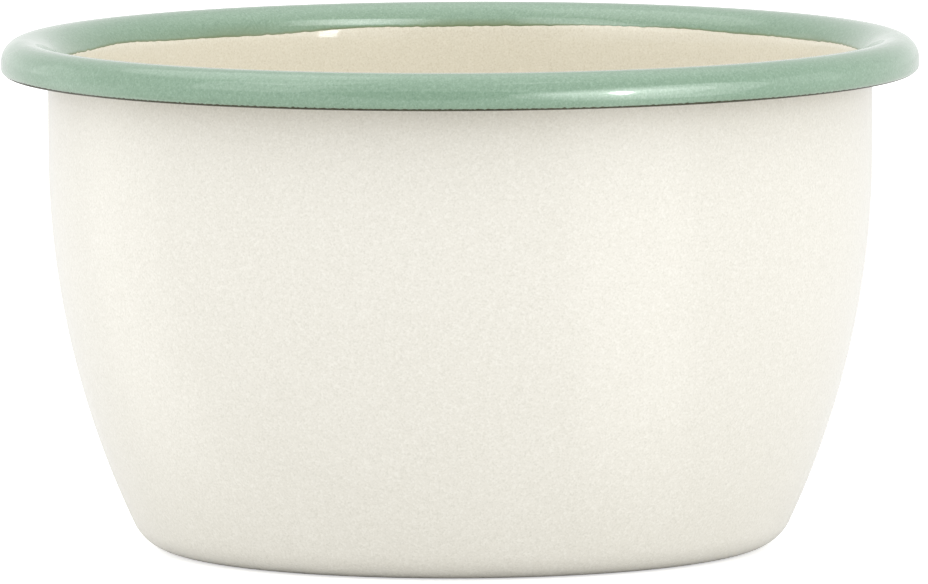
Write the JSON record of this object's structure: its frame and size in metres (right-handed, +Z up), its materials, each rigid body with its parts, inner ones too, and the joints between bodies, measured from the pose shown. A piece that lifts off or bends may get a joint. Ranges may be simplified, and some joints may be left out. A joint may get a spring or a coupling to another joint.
{
  "type": "enamel bowl",
  "caption": "Round enamelled steel bowl: upright wall drawn in to a flat base, cream inside and out, green coat over a hollow rolled rim. Holds food, water or small things.",
  "frame": {"origin": "middle of the standing ring, on the surface that the bowl stands on", "axes": "+Z up along the bowl's axis of symmetry; +X and +Y are any two square directions across it"},
  "size_m": [0.14, 0.14, 0.0779],
  "materials": {
    "steel": "cold-rolled sheet, hidden under the enamel",
    "ground_enamel": "dark glassy ground coat, bare only under the roll",
    "cream_enamel": "glossy cream vitreous enamel with a fine grain",
    "green_enamel": "glossy sage green vitreous enamel"
  },
  "bodies": {
    "root": {"steel_body": "steel", "ground_coat_inside": "ground_enamel", "ground_coat_outside": "ground_enamel", "cover_coat_inside": "cream_enamel", "cover_coat_outside": "cream_enamel", "rim_coat": "green_enamel"}
  },
  "joints": []
}
